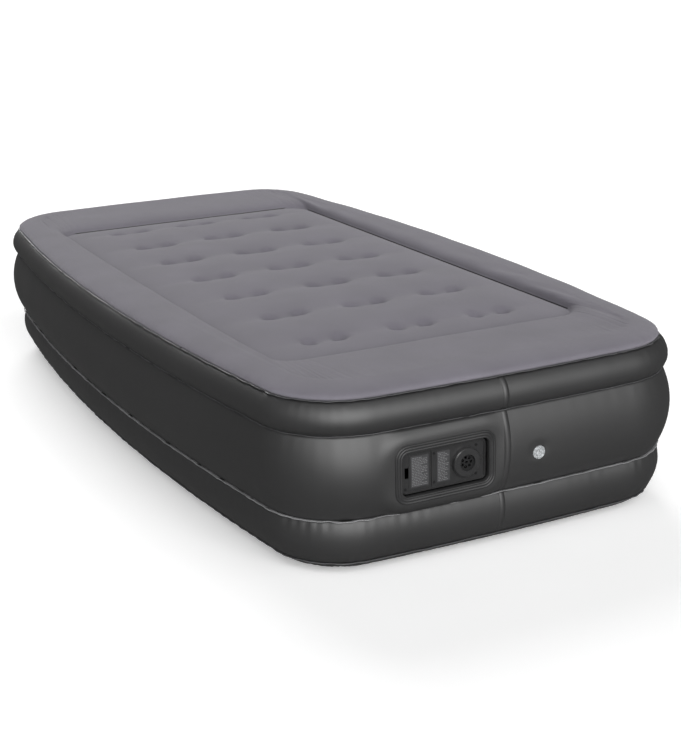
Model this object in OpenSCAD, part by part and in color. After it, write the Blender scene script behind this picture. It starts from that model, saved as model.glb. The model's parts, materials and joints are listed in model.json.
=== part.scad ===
// Raised single air bed: flocked top, three-tier film wall, built-in mains pump and a hand valve.
// The origin is on the floor under the middle of the bed. +X runs across the bed, +Y runs from the
// pump end to the far end, and +Z is up. All sizes are in millimetres.

/* [Bed] */
// Length of the bed over the fullest part of the wall
bed_l = 1910; // [1850:5:1980]
// Width of the bed at the fullest part of the wall
bed_w = 970; // [900:5:1040]
// Height of the bed over the bolster round the top
bed_h = 352; // [346:1:380]
// How far each long side bows out between its corners
side_bow = 45; // [20:1:60]
// How far each short end bows out between its corners
end_bow = 8; // [4:1:16]
// Radius of the corners in plan, at the fullest part of the wall
corner_r = 175; // [140:5:200]

/* [Wall] */
// Thickness of the wall film, measured level
film = 0.9; // [0.8:0.1:1.5]
// Thickness of the flat sheets and webs
sheet = 0.6; // [0.5:0.1:1]
// Height of the weld between the lower and the middle tier
low_groove_z = 111; // [100:1:120]
// Height of the weld between the middle and the upper tier
high_groove_z = 270; // [260:1:276]
// Height of the seam under the flocked top
top_seam_z = 330; // [326:1:334]
// Inset of the base seam from the fullest outline
base_inset = 40; // [34:1:46]
// Inset of the lower groove
low_groove_inset = 26; // [22:1:30]
// Inset of the upper groove
high_groove_inset = 18; // [14:1:22]
// Inset of the top seam
top_seam_inset = 28; // [24:1:32]
// How far the lower tier swells past the line between its seams
low_swell = 14; // [8:1:27]
// How far the middle tier swells past the line between its seams
mid_swell = 22; // [12:1:22]
// How far the upper tier swells past the line between its seams
high_swell = 16; // [8:1:18]

/* [Top] */
// Half width of the weld line inside the bolster
deck_half_w = 345; // [320:1:350]
// Half length of the weld line inside the bolster
deck_half_l = 670; // [600:5:700]
// Height of the sleeping surface
deck_z = 346; // [342:1:350]
// Height of the weld line inside the bolster
weld_z = 334; // [333:1:340]
// Radius of each air coil
coil_r = 31; // [24:1:36]
// Distance between the columns of coils
coil_pitch_x = 184; // [160:1:200]
// Distance between the rows of coils
coil_pitch_y = 190; // [170:1:196]

/* [Pump] */
// Place of the pump across the bed
pump_x = -140; // [-160:1:-110]
// Height of the middle of the pump
pump_z = 188; // [184:1:192]
// Depth of the pump panel's datum behind the fullest part of the wall
pump_inset = 17; // [16:1:20]
// Width of the pump panel
panel_w = 170; // [170:1:172]
// Height of the pump panel
panel_h = 76; // [76:1:78]
// Radius of the dial
dial_r = 27; // [24:1:28]
// Distance of the dial from the middle of the panel
dial_u = 44; // [43:1:46]
// Depth of the pump housing
housing_depth = 110; // [104:1:130]

/* [Valve] */
// Place of the hand valve across the bed
valve_x = 52; // [30:1:200]
// Height of the hand valve
valve_z = 181; // [176:1:195]
// Radius of the hand valve's flange
valve_r = 12.5; // [12:0.5:16]

/* [Hidden] */

flock = "#77757c";
film_grey = "#414244";
weld_grey = "#55565a";
panel_grey = "#3b3c3e";
steel = "#b9bcc0";
copper = "#b87a4b";
rubber_black = "#1c1c1e";
clear_film = "#c9d2d6";

// fineness of curves: small parts, corners, and the long shallow arcs of the sides and ends
fine = 48;
corner_fine = 96;
long_arc_fine = 256;
seam_lip = 1.2;
slack = 0.3;

// ---- plan outline: two side arcs, two end arcs and four corner arcs, all tangent ----
half_w = bed_w / 2;
half_l = bed_l / 2;
side_ref = half_l - corner_r;
end_ref = half_w - corner_r;
side_r = (side_ref * side_ref + side_bow * side_bow) / (2 * side_bow);
end_r = (end_ref * end_ref + end_bow * end_bow) / (2 * end_bow);
side_c = [half_w - side_r, 0];
end_c = [0, half_l - end_r];
// the corner centre is where two circles about the side and end centres cross
centre_gap = norm(end_c - side_c);
side_reach = side_r - corner_r;
end_reach = end_r - corner_r;
along = (side_reach * side_reach - end_reach * end_reach + centre_gap * centre_gap) / (2 * centre_gap);
across = sqrt(side_reach * side_reach - along * along);
gap_dir = (end_c - side_c) / centre_gap;
corner_c = side_c + along * gap_dir + across * [-gap_dir[1], gap_dir[0]];
side_a = atan2(corner_c[1] - side_c[1], corner_c[0] - side_c[0]);
end_a = atan2(corner_c[1] - end_c[1], corner_c[0] - end_c[0]);

function arc(centre, r, a0, a1, steps) =
    [for (i = [0:steps]) let (a = a0 + (a1 - a0) * i / steps) centre + r * [cos(a), sin(a)]];

// one quarter of the outline at an inset, from the middle of the long side to the middle of the end
function quarter(inset) = concat(
    arc(side_c, side_r - inset, 0, side_a, 6),
    [for (i = [1:12]) arc(corner_c, corner_r - inset, side_a, end_a, 12)[i]],
    [for (i = [1:4]) arc(end_c, end_r - inset, end_a, 90, 4)[i]]);

function flip(points, x, y) = [for (p = points) [p[0] * x, p[1] * y]];

// the whole loop of points that one quarter stands for
function whole(q) =
    let (n = len(q), back = [for (i = [n - 2:-1:0]) q[i]], ahead = [for (i = [1:n - 1]) q[i]])
    concat(q, flip(back, -1, 1), flip(ahead, -1, -1), flip([for (i = [n - 2:-1:1]) q[i]], 1, -1));

function outline(inset) = whole(quarter(inset));

// sweeps the strip between a line and its copy `thick` further in along the outline. A point's x is its
// distance outside the fullest outline. The corner strips are a hair thicker and lap over the ends of
// the others, so that the whole loop fuses into one solid.
lap = 0.01;
lap_a = 0.02;
module round_outline(line, thick) {
    for (mx = [0, 1], my = [0, 1])
        mirror([mx, 0, 0]) mirror([0, my, 0]) {
            translate(side_c) rotate_extrude(angle = side_a, $fn = long_arc_fine)
                translate([side_r, 0]) polygon(skin(line, thick));
            translate(corner_c) rotate([0, 0, side_a - lap_a])
                rotate_extrude(angle = end_a - side_a + 2 * lap_a, $fn = corner_fine)
                    translate([corner_r + lap, 0]) polygon(skin(line, thick + 2 * lap));
            translate(end_c) rotate([0, 0, 90]) mirror([0, 1, 0])
                rotate_extrude(angle = 90 - end_a, $fn = long_arc_fine)
                    translate([end_r, 0]) polygon(skin(line, thick));
        }
}

// height of a shallow arc over its chord, for u from -1 to 1
function swell_at(u, half_span, swell) =
    let (r = (half_span * half_span + swell * swell) / (2 * swell))
    sqrt(r * r - half_span * half_span * u * u) - (r - swell);

// outer line of one tier, from its lower seam to its upper seam
tier_steps = 10;
function tier_line(z0, inset0, z1, inset1, swell, proud) =
    [for (i = [0:tier_steps]) let (t = i / tier_steps, u = 2 * t - 1)
        [proud - inset0 - (inset1 - inset0) * t + swell_at(u, (z1 - z0) / 2, swell), z0 + (z1 - z0) * t]];

function skin(line, thick) = concat(line, [for (i = [len(line) - 1:-1:0]) line[i] - [thick, 0]]);

function low_line(proud) =
    tier_line(sheet + seam_lip, base_inset, low_groove_z, low_groove_inset, low_swell, proud);
function mid_line(proud) =
    tier_line(low_groove_z + sheet, low_groove_inset, high_groove_z, high_groove_inset, mid_swell, proud);
function high_line(proud) =
    tier_line(high_groove_z + sheet, high_groove_inset, top_seam_z, top_seam_inset, high_swell, proud);

// ---- the bed ----
bolster_r = bed_h - top_seam_z - seam_lip;
trough_half = 22;
trough_floor_half = 5;
deck_corner_r = 40;
trough_film = 1.2;

module rounded(w, h, r) {
    union() {
        square([w - 2 * r, h], center = true);
        square([w, h - 2 * r], center = true);
        for (x = [-1, 1], y = [-1, 1])
            translate([x * (w / 2 - r), y * (h / 2 - r)]) circle(r, $fn = fine);
    }
}

module deck_outline(grow) {
    rounded(2 * (deck_half_w + grow), 2 * (deck_half_l + grow), deck_corner_r + grow);
}

// one quarter of the deck's weld line, moved out by grow, with as many points as quarter()
function deck_quarter(grow) =
    let (w = deck_half_w - deck_corner_r, l = deck_half_l - deck_corner_r, r = deck_corner_r + grow)
    concat(
        [for (i = [0:5]) [w + r, l * i / 6]],
        arc([w, l], r, 0, 90, 12),
        [for (i = [1:4]) [w * (1 - i / 4), l + r]]);

function lift(points, z) = [for (p = points) [p[0], p[1], z]];

// loops of the flocked sheet from the top seam up over the bolster, down into the trough and on to the deck
roll_steps = 6;
function top_loops(drop) = concat(
    [for (i = [0:roll_steps]) let (a = 90 * i / roll_steps, r = bolster_r - drop)
        lift(whole(quarter(top_seam_inset + bolster_r - r * cos(a))), top_seam_z + seam_lip + r * sin(a))],
    [lift(whole(deck_quarter(trough_half)), bed_h - drop),
        lift(whole(deck_quarter(trough_floor_half)), weld_z - drop),
        lift(whole(deck_quarter(-trough_floor_half)), weld_z - drop),
        lift(whole(deck_quarter(-trough_half)), deck_z - drop)]);

module top_sheet() {
    outside = top_loops(0);
    inside = top_loops(trough_film);
    loops = concat([for (i = [len(inside) - 1:-1:0]) inside[i]], outside);
    sides = len(loops[0]);
    last = (len(loops) - 1) * sides;
    under = len(loops) * sides;
    color(flock) polyhedron(
        points = concat([for (loop = loops) each loop],
            [[0, 0, deck_z - trough_film], [0, 0, deck_z]]),
        faces = concat(
            [for (i = [0:len(loops) - 2], k = [0:sides - 1])
                let (next = (k + 1) % sides, base = i * sides)
                [base + k, base + sides + k, base + sides + next, base + next]],
            [for (k = [0:sides - 1]) [under, k, (k + 1) % sides]],
            [for (k = [0:sides - 1]) [under + 1, last + (k + 1) % sides, last + k]]));
}

module upper_wall() {
    color(film_grey) round_outline(high_line(0), film);
}

// the stretch of the middle tier that carries the pump is a panel of its own, up to the lap weld
panel_left = -262;
module panel_space() {
    translate([panel_left, -half_l - 1, low_groove_z])
        cube([strip_x - panel_left, 60, high_groove_z - low_groove_z]);
}

module middle_wall() {
    color(film_grey) difference() {
        round_outline(mid_line(0), film);
        panel_space();
        at_valve() rod(valve_r, -30, 30);
    }
}

module pump_wall_panel() {
    color(film_grey) difference() {
        intersection() {
            round_outline(mid_line(0), film);
            panel_space();
        }
        at_pump() slab(-40, 40) rounded(surround_w, surround_h, surround_r);
    }
}

module lower_wall() {
    color(film_grey) round_outline(low_line(0), film);
}

module bottom_sheet() {
    color(film_grey) linear_extrude(sheet) polygon(outline(base_inset - 4));
}

module upper_tie_sheet() {
    color(film_grey) translate([0, 0, high_groove_z]) linear_extrude(sheet)
        polygon(outline(high_groove_inset));
}

module lower_tie_sheet() {
    color(film_grey) translate([0, 0, low_groove_z]) linear_extrude(sheet)
        polygon(outline(low_groove_inset - 4));
}

// upright film that holds the weld line inside the bolster down to the upper tie sheet
module deck_weld_beam() {
    color(film_grey) translate([0, 0, high_groove_z + sheet])
        linear_extrude(weld_z - trough_film - high_groove_z - sheet) difference() {
            deck_outline(sheet / 2);
            deck_outline(-sheet / 2);
        }
}

coil_cols = 3;
coil_rows = 7;
module air_coils() {
    color(film_grey) for (col = [0:coil_cols - 1], row = [0:coil_rows - 1])
        translate([(col - 1) * coil_pitch_x, (row - 3) * coil_pitch_y, high_groove_z + sheet])
            difference() {
                cylinder(deck_z - trough_film - high_groove_z - sheet, r = coil_r, $fn = fine);
                translate([0, 0, -1]) cylinder(bed_h, r = coil_r - sheet, $fn = fine);
            }
}

// upright webs across the bed, with round holes that let the air through
web_half_w = 380;
web_hole_pitch = 152;
module webs(z0, z1, hole_r) {
    for (row = [-3:2])
        translate([0, (row + 0.5) * coil_pitch_y + sheet / 2, z0]) rotate([90, 0, 0])
            linear_extrude(sheet) difference() {
                translate([-web_half_w, 0]) square([2 * web_half_w, z1 - z0]);
                for (i = [-2:2])
                    translate([i * web_hole_pitch, (z1 - z0) / 2]) circle(hole_r, $fn = fine);
            }
}

module middle_webs() {
    color(film_grey) webs(low_groove_z + sheet, high_groove_z, 40);
}

module lower_webs() {
    color(film_grey) webs(sheet, low_groove_z, 28);
}

module seam_ring(z, inset, reach) {
    round_outline([[reach - inset, z], [reach - inset, z + seam_lip]], 2 * reach);
}

module top_seam_flange() {
    color(weld_grey) seam_ring(top_seam_z, top_seam_inset, 2.5);
}

module base_seam_flange() {
    color(weld_grey) seam_ring(sheet, base_inset, 4);
}

// the wall film is closed with one upright lap strip at each end of the bed
strip_x = -14;
strip_w = 14;
strip_film = 0.5;
module lap_strip(line) {
    middle_a = asin(strip_x / end_r);
    width_a = strip_w / end_r * 180 / PI;
    for (turn = [0, 180]) rotate([0, 0, turn])
        translate([0, end_r - half_l, 0]) rotate([0, 0, middle_a - width_a / 2 - 90])
            rotate_extrude(angle = width_a, $fn = long_arc_fine)
                translate([end_r, 0]) polygon(skin(line, strip_film));
}

module wall_lap_strips() {
    color(weld_grey) {
        lap_strip(high_line(strip_film));
        lap_strip(mid_line(strip_film));
        lap_strip(low_line(strip_film));
    }
}

// ---- the pump: u runs across the panel, v runs into the bed from the panel's datum, w runs up ----
module at_pump() {
    translate([pump_x, pump_inset - half_l, pump_z]) children();
}

// extrudes a drawing of the panel, in u and w, from depth v0 to depth v1
module slab(v0, v1) {
    translate([0, v1, 0]) rotate([90, 0, 0]) linear_extrude(v1 - v0) children();
}

// a round bar along v
module rod(r, v0, v1) {
    translate([0, v1, 0]) rotate([90, 0, 0]) cylinder(v1 - v0, r = r, $fn = fine);
}

module ring(r_out, r_in, v0, v1) {
    difference() {
        rod(r_out, v0, v1);
        rod(r_in, v0 - 1, v1 + 1);
    }
}

module at_dial() {
    at_pump() translate([dial_u, 0, 0]) children();
}

surround_w = 206;
surround_h = 112;
surround_r = 26;
panel_r = 9;
gap = 2;
plate_front = -2;
plate_back = 1;
border = 2.5;
housing_w = panel_w - 6;
housing_h = panel_h - 4;
housing_r = 8;
wall = 2;
rim_back = plate_back + wall;
seat = rim_back + 1;
surround_front = -12;
surround_back = seat + 2;

module pump_surround() {
    color(film_grey) at_pump() difference() {
        union() {
            slab(surround_front, surround_back) rounded(surround_w, surround_h, surround_r);
            for (inset = [7, 13]) slab(surround_front - 1.5, surround_front) difference() {
                rounded(surround_w - 2 * inset, surround_h - 2 * inset, surround_r - inset + 3);
                rounded(surround_w - 2 * inset - 5, surround_h - 2 * inset - 5, surround_r - inset + 1);
            }
        }
        slab(surround_front - 5, seat) rounded(panel_w + 2 * gap, panel_h + 2 * gap, panel_r + gap);
        slab(seat - 1, surround_back + 1) rounded(housing_w + 1, housing_h + 1, housing_r + 0.5);
    }
}

module rim_outline() {
    rounded(panel_w + 3, panel_h + 3, panel_r + 1.5);
}

module housing_gasket() {
    color(rubber_black) at_pump() slab(rim_back, seat) difference() {
        rim_outline();
        rounded(housing_w + 1, housing_h + 1, housing_r + 0.5);
    }
}

// screw places on the panel: two by the door's hinge, two by the dial, one in the door's corner
screw_places = [[-20, 27], [-20, -27], [66, 27], [66, -27], [-78, -30]];
boss_depth = 11;
screw_r = 1.5;
screw_head_r = 2.9;
screw_head_depth = 1.5;
partition_u = -24;
cord_floor_v = 88;
flap_u = -2;
port_r = 11;
gland_v = 66;
gland_w = -18;
gland_r = 4;

module screw_boss(place) {
    up = place[1] > 0 ? 1 : -1;
    reach = housing_h / 2 - wall - abs(place[1]);
    slab(plate_back, boss_depth) translate(place) {
        circle(3.5, $fn = fine);
        translate([-1.5, up > 0 ? 0 : -reach]) square([3, reach]);
    }
}

module pump_housing() {
    inner_w = housing_w - 2 * wall;
    inner_h = housing_h - 2 * wall;
    color(panel_grey) at_pump() difference() {
        union() {
            difference() {
                union() {
                    slab(plate_back, housing_depth) rounded(housing_w, housing_h, housing_r);
                    slab(plate_back, rim_back) rim_outline();
                }
                slab(0, housing_depth - wall) rounded(inner_w, inner_h, housing_r - wall);
            }
            translate([partition_u, plate_back, -inner_h / 2])
                cube([wall, cord_floor_v + wall - plate_back, inner_h]);
            translate([-inner_w / 2, cord_floor_v, -inner_h / 2 + housing_r - wall])
                cube([partition_u + inner_w / 2 + wall, wall, inner_h - 2 * (housing_r - wall)]);
            for (place = screw_places) screw_boss(place);
        }
        for (place = screw_places) translate([place[0], 0, place[1]]) rod(screw_r, 0, boss_depth + 1);
        translate([flap_u, 0, 0]) rod(port_r, housing_depth - wall - 1, housing_depth + 1);
        translate([partition_u - 1, gland_v, gland_w]) rotate([0, 90, 0])
            cylinder(wall + 2, r = gland_r, $fn = fine);
    }
}

door_left = -71;
hinge_u = -27;
hinge_v = -0.4;
hinge_barrel_r = 1.6;
hinge_pin_r = 0.9;
door_half_h = 33;
pin_half_l = 35.2;
finger_left = -79;
finger_half_h = 10;
spindle_r = 14;

module face_plate() {
    color(panel_grey) at_pump() difference() {
        union() {
            slab(plate_front, plate_back) rounded(panel_w, panel_h, panel_r);
            slab(plate_front - 2, plate_front) difference() {
                rounded(panel_w, panel_h, panel_r);
                rounded(panel_w - 2 * border, panel_h - 2 * border, panel_r - border);
            }
        }
        // doorway, with the finger gap at its free edge
        translate([door_left - slack, plate_front - 1, -door_half_h - slack])
            cube([hinge_u + hinge_barrel_r - door_left + 2 * slack, 5, 2 * (door_half_h + slack)]);
        translate([finger_left, plate_front - 1, -finger_half_h])
            cube([door_left - finger_left, 5, 2 * finger_half_h]);
        translate([hinge_u, hinge_v, -pin_half_l]) cylinder(2 * pin_half_l, r = hinge_pin_r, $fn = fine);
        for (place = screw_places) translate([place[0], 0, place[1]]) {
            rod(screw_r, plate_front - 5, plate_back + 1);
            rod(screw_head_r, plate_front - 5, plate_front + screw_head_depth);
        }
        translate([dial_u, 0, 0]) rod(spindle_r + 0.4, plate_front - 1, plate_back + 1);
    }
}

module face_screws() {
    color(rubber_black) at_pump() for (place = screw_places) translate([place[0], 0, place[1]])
        difference() {
            union() {
                rod(screw_head_r, plate_front + 0.4, plate_front + screw_head_depth);
                rod(screw_r, plate_front + screw_head_depth, boss_depth - 1);
            }
            for (turn = [0, 90]) rotate([0, turn, 0])
                translate([-2, plate_front, -0.35]) cube([4, 0.9, 0.7]);
        }
}

label_film = 0.3;
module panel_label() {
    color(weld_grey) at_pump() slab(plate_front - label_film, plate_front)
        translate([-1, 0]) rounded(26, 58, 2);
}

module cord_door() {
    color(panel_grey) at_pump() difference() {
        union() {
            translate([door_left, plate_front, -door_half_h])
                cube([hinge_u - door_left, 2.6, 2 * door_half_h]);
            translate([hinge_u, hinge_v, -door_half_h])
                cylinder(2 * door_half_h, r = hinge_barrel_r, $fn = fine);
            // stiffening rib behind the door
            translate([door_left + 4, plate_front + 2.6, -door_half_h + 4])
                cube([30, 1.5, 2]);
            translate([door_left + 4, plate_front + 2.6, door_half_h - 6])
                cube([30, 1.5, 2]);
        }
        translate([hinge_u, hinge_v, -door_half_h - 1])
            cylinder(2 * door_half_h + 2, r = hinge_pin_r + 0.05, $fn = fine);
        // scoop that a finger pulls on
        translate([door_left - 1, plate_front + 1.2, -finger_half_h + 2])
            cube([4, 3, 2 * finger_half_h - 4]);
    }
}

module door_label() {
    color(weld_grey) at_pump() slab(plate_front - label_film, plate_front)
        translate([-49, 0]) rounded(36, 58, 1.5);
}

module door_hinge_pin() {
    color(steel) at_pump() translate([hinge_u, hinge_v, -pin_half_l])
        cylinder(2 * pin_half_l, r = hinge_pin_r, $fn = fine);
}

// rubber bush where the mains lead passes from the cord compartment to the motor
module cord_gland() {
    color(rubber_black) at_pump() translate([partition_u, gland_v, gland_w]) rotate([0, 90, 0])
        difference() {
            union() {
                cylinder(wall, r = gland_r, $fn = fine);
                translate([0, 0, -2]) cylinder(2, r = gland_r + 2, $fn = fine);
                translate([0, 0, wall]) cylinder(2, r = gland_r + 1, $fn = fine);
            }
            translate([0, 0, -3]) cylinder(wall + 6, r = 2.6, $fn = fine);
        }
}

// ---- dial: knob, grille, spindle and diverter turn together ----
dial_front = -11;
dial_back = plate_front - 0.6;
well_r = 15.5;
grille_front = -6.5;
grille_back = -4.5;
diverter_v = 5.5;
diverter_r = 30;

module dial_knob() {
    color(panel_grey) at_dial() difference() {
        union() {
            rod(dial_r, dial_front + 1.5, dial_back);
            translate([0, dial_front + 1.5, 0]) rotate([90, 0, 0])
                cylinder(1.5, r1 = dial_r, r2 = dial_r - 1.5, $fn = fine);
        }
        rod(well_r, dial_front - 1, dial_back + 1);
        difference() {
            rod(dial_r - 2, dial_front + 2.5, dial_back + 1);
            rod(well_r + 2, dial_front + 2, dial_back + 2);
        }
        translate([-21, 0, 0]) rod(1, dial_front - 1, dial_front + 0.6);
    }
}

module dial_grille() {
    color(rubber_black) at_dial() difference() {
        rod(well_r, grille_front, grille_back);
        rod(2.6, grille_front - 1, grille_back + 1);
        for (i = [0:6]) rotate([0, i * 360 / 7, 0])
            translate([9, 0, 0]) rod(2.8, grille_front - 1, grille_back + 1);
    }
}

module dial_spindle() {
    color(panel_grey) at_dial() {
        ring(well_r, spindle_r - 2, grille_back, grille_back + 1.2);
        ring(spindle_r, spindle_r - 2, grille_back + 1.2, diverter_v);
    }
}

module diverter_disc() {
    color(film_grey) at_dial() difference() {
        rod(diverter_r, diverter_v, diverter_v + 3.5);
        rod(spindle_r - 2, 0, 20);
        for (i = [0:3]) rotate([0, i * 90 + 45, 0]) translate([21, 0, 0]) rod(5, 0, 20);
    }
}

module dial_seal() {
    color(rubber_black) at_dial() ring(spindle_r + 3, spindle_r + 0.4, plate_back, plate_back + 2);
}

// switch that the diverter's edge works
switch_right = 11;
plunger_v = 7.2;
plunger_r = 1.2;
module microswitch() {
    color(rubber_black) at_pump() difference() {
        translate([switch_right - 13, plate_back, -6]) cube([13, 12, 12]);
        translate([switch_right - 4, plunger_v, 0]) rotate([0, 90, 0])
            cylinder(5, r = plunger_r + 0.05, $fn = fine);
    }
}

module switch_plunger() {
    color("#a8432f") at_pump() translate([switch_right - 2, plunger_v, 0]) rotate([0, 90, 0])
        cylinder(4.4, r = plunger_r, $fn = fine);
}

// ---- blower and motor ----
scroll_front = 12;
scroll_back = 38;
scroll_r = 33;
duct_left = -12;
duct_top = 33;
duct_low = 19;
impeller_r = 27;
shaft_r = 1.5;

module blower_scroll() {
    color(panel_grey) at_dial() difference() {
        union() {
            rod(scroll_r, scroll_front, scroll_back);
            translate([duct_left - dial_u, scroll_front, duct_low])
                cube([dial_u - duct_left, scroll_back - scroll_front, duct_top - duct_low]);
        }
        rod(scroll_r - wall, scroll_front + wall, scroll_back - wall);
        translate([duct_left - dial_u - 1, scroll_front + wall, duct_low + wall])
            cube([dial_u - duct_left, scroll_back - scroll_front - 2 * wall, duct_top - duct_low - 2 * wall]);
        rod(spindle_r, scroll_front - 1, scroll_front + wall + 1);
        rod(4, scroll_back - wall - 1, scroll_back + 1);
        at_mount_screws() rod(1.3, scroll_back - wall - 1, scroll_back + 1);
    }
}

module at_mount_screws() {
    for (i = [0:2]) rotate([0, i * 120 + 30, 0]) translate([24, 0, 0]) children();
}

blade_count = 12;
module impeller() {
    color(weld_grey) at_dial() difference() {
        union() {
            rod(impeller_r, 32, 33.5);
            rod(5, 24, 32);
            for (i = [0:blade_count - 1]) rotate([0, i * 360 / blade_count, 0])
                translate([17, 16.5, 0]) rotate([0, 35, 0]) translate([-6, 0, -0.6]) cube([12, 16, 1.2]);
        }
        rod(shaft_r, 20, 40);
    }
}

module motor_shaft() {
    color(steel) at_dial() rod(shaft_r, 22, 88);
}

module motor_mount() {
    color(panel_grey) at_dial() difference() {
        ring(31, 9, scroll_back, scroll_back + wall);
        at_mount_screws() rod(1.3, scroll_back - 1, scroll_back + wall + 1);
    }
}

module mount_screws() {
    color(steel) at_dial() at_mount_screws() {
        rod(1.3, scroll_back - wall, scroll_back + wall);
        rod(2.6, scroll_back + wall, scroll_back + wall + 1.8);
    }
}

can_front = 40;
can_back = 84;
can_r = 18;
can_wall = 1.5;
bush_r = 4;
module motor_can() {
    color(steel) at_dial() difference() {
        rod(can_r, can_front, can_back);
        rod(can_r - can_wall, can_front + wall, can_back + 1);
        rod(bush_r, can_front - 1, can_front + wall + 1);
    }
}

module motor_end_cap() {
    color(rubber_black) at_dial() ring(can_r, bush_r, can_back, can_back + wall);
}

module motor_bushes() {
    color(copper) at_dial() {
        ring(bush_r, shaft_r + 0.05, can_front, can_front + 5);
        ring(bush_r, shaft_r + 0.05, can_back - 3, can_back + wall);
    }
}

module motor_stator() {
    color(steel) at_dial() ring(can_r - can_wall, 11.6, 47, 75);
}

module motor_rotor() {
    color(copper) at_dial() difference() {
        ring(11, shaft_r, 48, 74);
        for (i = [0:9]) rotate([0, i * 36, 0]) translate([10.2, 47, -0.9]) cube([3, 28, 1.8]);
    }
}

module commutator() {
    color(copper) at_dial() ring(5, shaft_r, 75, 80);
}

module motor_brushes() {
    color(rubber_black) at_dial() for (side = [-1, 1])
        translate([side > 0 ? 5.3 : -16.4, 76, -1.5]) cube([11.1, 3, 3]);
}

// ---- outlet check valve in the back of the housing ----
stem_r = 1.5;
flap_front = housing_depth + 0.3;
clip_v = housing_depth - 12;
module at_flap() {
    at_pump() translate([flap_u, 0, 0]) children();
}

module outlet_spider() {
    color(panel_grey) at_flap() difference() {
        union() {
            ring(port_r, port_r - 1.5, housing_depth - wall, housing_depth);
            rod(3.2, housing_depth - wall, housing_depth);
            for (i = [0:2]) rotate([0, i * 120, 0]) translate([0, housing_depth - wall, -0.8])
                cube([port_r - 1, wall, 1.6]);
        }
        rod(stem_r + 0.05, housing_depth - wall - 1, housing_depth + 1);
    }
}

module check_flap() {
    color(rubber_black) at_flap() {
        rod(port_r + 1.5, flap_front, flap_front + 1.5);
        rod(stem_r, clip_v - 1, flap_front);
    }
}

module flap_clip() {
    color(steel) at_flap() ring(3, stem_r, clip_v, clip_v + 1.2);
}

spring_turns = 5;
spring_wire_r = 0.12;
spring_r = 2.4;
spring_len = housing_depth - wall - clip_v - 1.2 - 2 * spring_wire_r;
spring_sides = 6;
spring_rings = spring_turns * 12;
module flap_spring() {
    color(steel) at_flap() translate([0, clip_v + 1.2 + spring_wire_r, 0]) polyhedron(
        points = [for (i = [0:spring_rings], k = [0:spring_sides - 1])
            let (a = 360 * i * spring_turns / spring_rings, b = 360 * k / spring_sides,
                r = spring_r + spring_wire_r * cos(b))
            [r * cos(a), spring_len * i / spring_rings + spring_wire_r * sin(b), r * sin(a)]],
        faces = concat(
            [[for (k = [0:spring_sides - 1]) k]],
            [for (i = [0:spring_rings - 1], k = [0:spring_sides - 1])
                let (next = (k + 1) % spring_sides, base = i * spring_sides)
                [base + k, base + spring_sides + k, base + spring_sides + next, base + next]],
            [[for (k = [spring_sides - 1:-1:0]) spring_rings * spring_sides + k]]));
}

// ---- hand valve: v runs into the bed from the fullest part of the wall ----
valve_front = 2;
valve_back = 3.5;
neck_bore_r = 4.5;
neck_r = 6;
neck_depth = 16;
cap_front = 0.2;
cap_back = valve_front - slack;
cap_r = 7;
cap_hinge_w = -10;
cap_hinge_v = (cap_front + cap_back) / 2;
module at_valve() {
    translate([valve_x, -half_l, valve_z]) children();
}

module valve_body() {
    color(clear_film) at_valve() {
        difference() {
            union() {
                rod(valve_r, valve_front, valve_back);
                rod(neck_r, valve_back, neck_depth);
                for (x = [-4.6, 3.4]) translate([x, cap_front, cap_hinge_w - 0.7])
                    cube([1.2, valve_front - cap_front, 1.4]);
            }
            rod(neck_bore_r, 0, neck_depth + 1);
        }
    }
}

module valve_cap() {
    color(clear_film) at_valve() union() {
        rod(cap_r, cap_front, cap_back);
        translate([-2.5, cap_front, cap_hinge_w]) cube([5, cap_back - cap_front, -cap_hinge_w]);
        translate([-3.1, cap_hinge_v, cap_hinge_w]) rotate([0, 90, 0])
            cylinder(6.2, r = (cap_back - cap_front) / 2, $fn = fine);
        translate([0, cap_back, 0]) rotate([-90, 0, 0]) cylinder(4, r1 = 4.2, r2 = 3.3, $fn = fine);
    }
}

top_sheet();
upper_wall();
middle_wall();
pump_wall_panel();
lower_wall();
bottom_sheet();
upper_tie_sheet();
lower_tie_sheet();
deck_weld_beam();
air_coils();
middle_webs();
lower_webs();
top_seam_flange();
base_seam_flange();
wall_lap_strips();
pump_surround();
housing_gasket();
pump_housing();
face_plate();
face_screws();
panel_label();
cord_door();
door_label();
door_hinge_pin();
cord_gland();
dial_knob();
dial_grille();
dial_spindle();
diverter_disc();
dial_seal();
microswitch();
switch_plunger();
blower_scroll();
impeller();
motor_shaft();
motor_rotor();
commutator();
motor_mount();
mount_screws();
motor_can();
motor_end_cap();
motor_stator();
motor_bushes();
motor_brushes();
outlet_spider();
check_flap();
flap_clip();
flap_spring();
valve_body();
valve_cap();
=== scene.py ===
import json
import math
import bmesh
import bpy
import numpy as np
from mathutils import Matrix, Vector
from mathutils.geometry import delaunay_2d_cdt


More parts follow.
